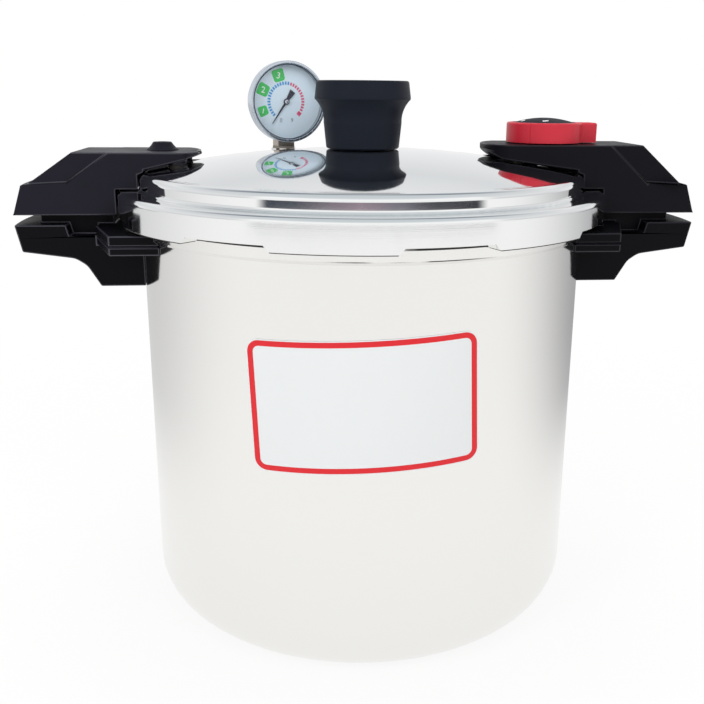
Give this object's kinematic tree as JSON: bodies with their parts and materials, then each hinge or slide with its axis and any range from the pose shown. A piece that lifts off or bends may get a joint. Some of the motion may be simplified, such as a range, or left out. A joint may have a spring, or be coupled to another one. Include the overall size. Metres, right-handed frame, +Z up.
{
  "type": "pressure canner",
  "caption": "Tall aluminium pressure canner with a twist-lock domed lid, black side handles, top knob, dial pressure gauge, red pressure selector and an inner jar rack",
  "frame": {"origin": "middle of the flat base, on the surface the canner stands on", "axes": "+Z up, +X through the side handles towards the selector, -Y to the labelled front"},
  "size_m": [0.477, 0.3408, 0.389],
  "materials": {
    "polished_aluminium": "polished",
    "rack_aluminium": "satin",
    "black_phenolic": "semi-matte moulded",
    "red_nylon": "moulded",
    "label_card": "matt print",
    "steel": "satin",
    "bright_chrome": "polished",
    "black_rubber": "matt",
    "clear_glass": "clear",
    "dial_white": "satin paint",
    "needle_black": "satin paint",
    "brass": "turned"
  },
  "bodies": {
    "pot": {"pot_body": "polished_aluminium", "pot_bracket_left": "steel", "pot_bracket_right": "steel", "bracket_rivets": "steel", "pot_handle_left": "black_phenolic", "pot_handle_right": "black_phenolic", "pot_handle_screws": "steel", "front_label": "label_card"},
    "rack": {"jar_rack": "rack_aluminium"},
    "gasket": {"lid_gasket": "black_rubber"},
    "lid": {"lid_shell": "polished_aluminium", "lid_handle_left": "black_phenolic", "lid_handle_right": "black_phenolic", "lid_handle_screws": "steel", "lid_handle_washers": "steel", "lid_knob": "black_phenolic", "knob_screw": "steel", "knob_washer": "steel", "gauge_bezel": "bright_chrome", "gauge_lens": "clear_glass", "gauge_case": "steel", "gauge_dial": "dial_white", "gauge_movement": "brass", "gauge_tube": "brass", "gauge_stem": "brass", "gauge_stem_seal": "black_rubber", "gauge_stem_nut": "steel", "valve_body": "brass", "valve_nut": "steel", "valve_seal": "black_rubber", "valve_spring": "steel", "valve_bonnet": "brass", "selector_clip": "steel", "pin_bush": "brass", "pin_nut": "steel", "pin_cone": "black_phenolic", "safety_plug": "black_rubber"},
    "selector": {"selector_collar": "red_nylon", "selector_cap": "black_phenolic"},
    "plunger": {"valve_plunger": "steel"},
    "pin": {"lock_pin": "steel", "lock_pin_seal": "black_rubber"},
    "sector": {"gauge_sector": "brass"},
    "pointer": {"gauge_pointer": "needle_black", "gauge_spindle": "brass"}
  },
  "joints": [
    {"name": "rack_lift", "type": "slide", "parent": "pot", "child": "rack", "axis": [0, 0, 1], "range_m": [0, 0.25]},
    {"name": "lid_lift", "type": "slide", "parent": "pot", "child": "gasket", "axis": [0, 0, 1], "range_m": [0, 0.12]},
    {"name": "lid_turn", "type": "hinge", "parent": "gasket", "child": "lid", "pos_m": [0, 0, 0.3], "axis": [0, 0, 1], "range_deg": [0, 22.5]},
    {"name": "selector_turn", "type": "hinge", "parent": "lid", "child": "selector", "pos_m": [0.1316, 0, 0.34], "axis": [0, 0, 1], "range_deg": [-90, 90]},
    {"name": "valve_lift", "type": "slide", "parent": "lid", "child": "plunger", "axis": [0, 0, 1], "range_m": [0, 0.0025], "deforming": ["valve_spring"]},
    {"name": "pin_rise", "type": "slide", "parent": "lid", "child": "pin", "axis": [0, 0, 1], "range_m": [0, 0.006]},
    {"name": "sector_swing", "type": "hinge", "parent": "lid", "child": "sector", "pos_m": [-0.06633, 0.05019, 0.359], "axis": [0.3256, -0.9455, 0], "range_deg": [0, 40]},
    {"name": "pointer_sweep", "type": "hinge", "parent": "lid", "child": "pointer", "pos_m": [-0.0512, 0.0554, 0.359], "axis": [0.3256, -0.9455, 0], "range_deg": [-280, 0]}
  ],
  "couplings": [
    {"joint": "pointer_sweep", "follows": "sector_swing", "ratio": -7}
  ]
}
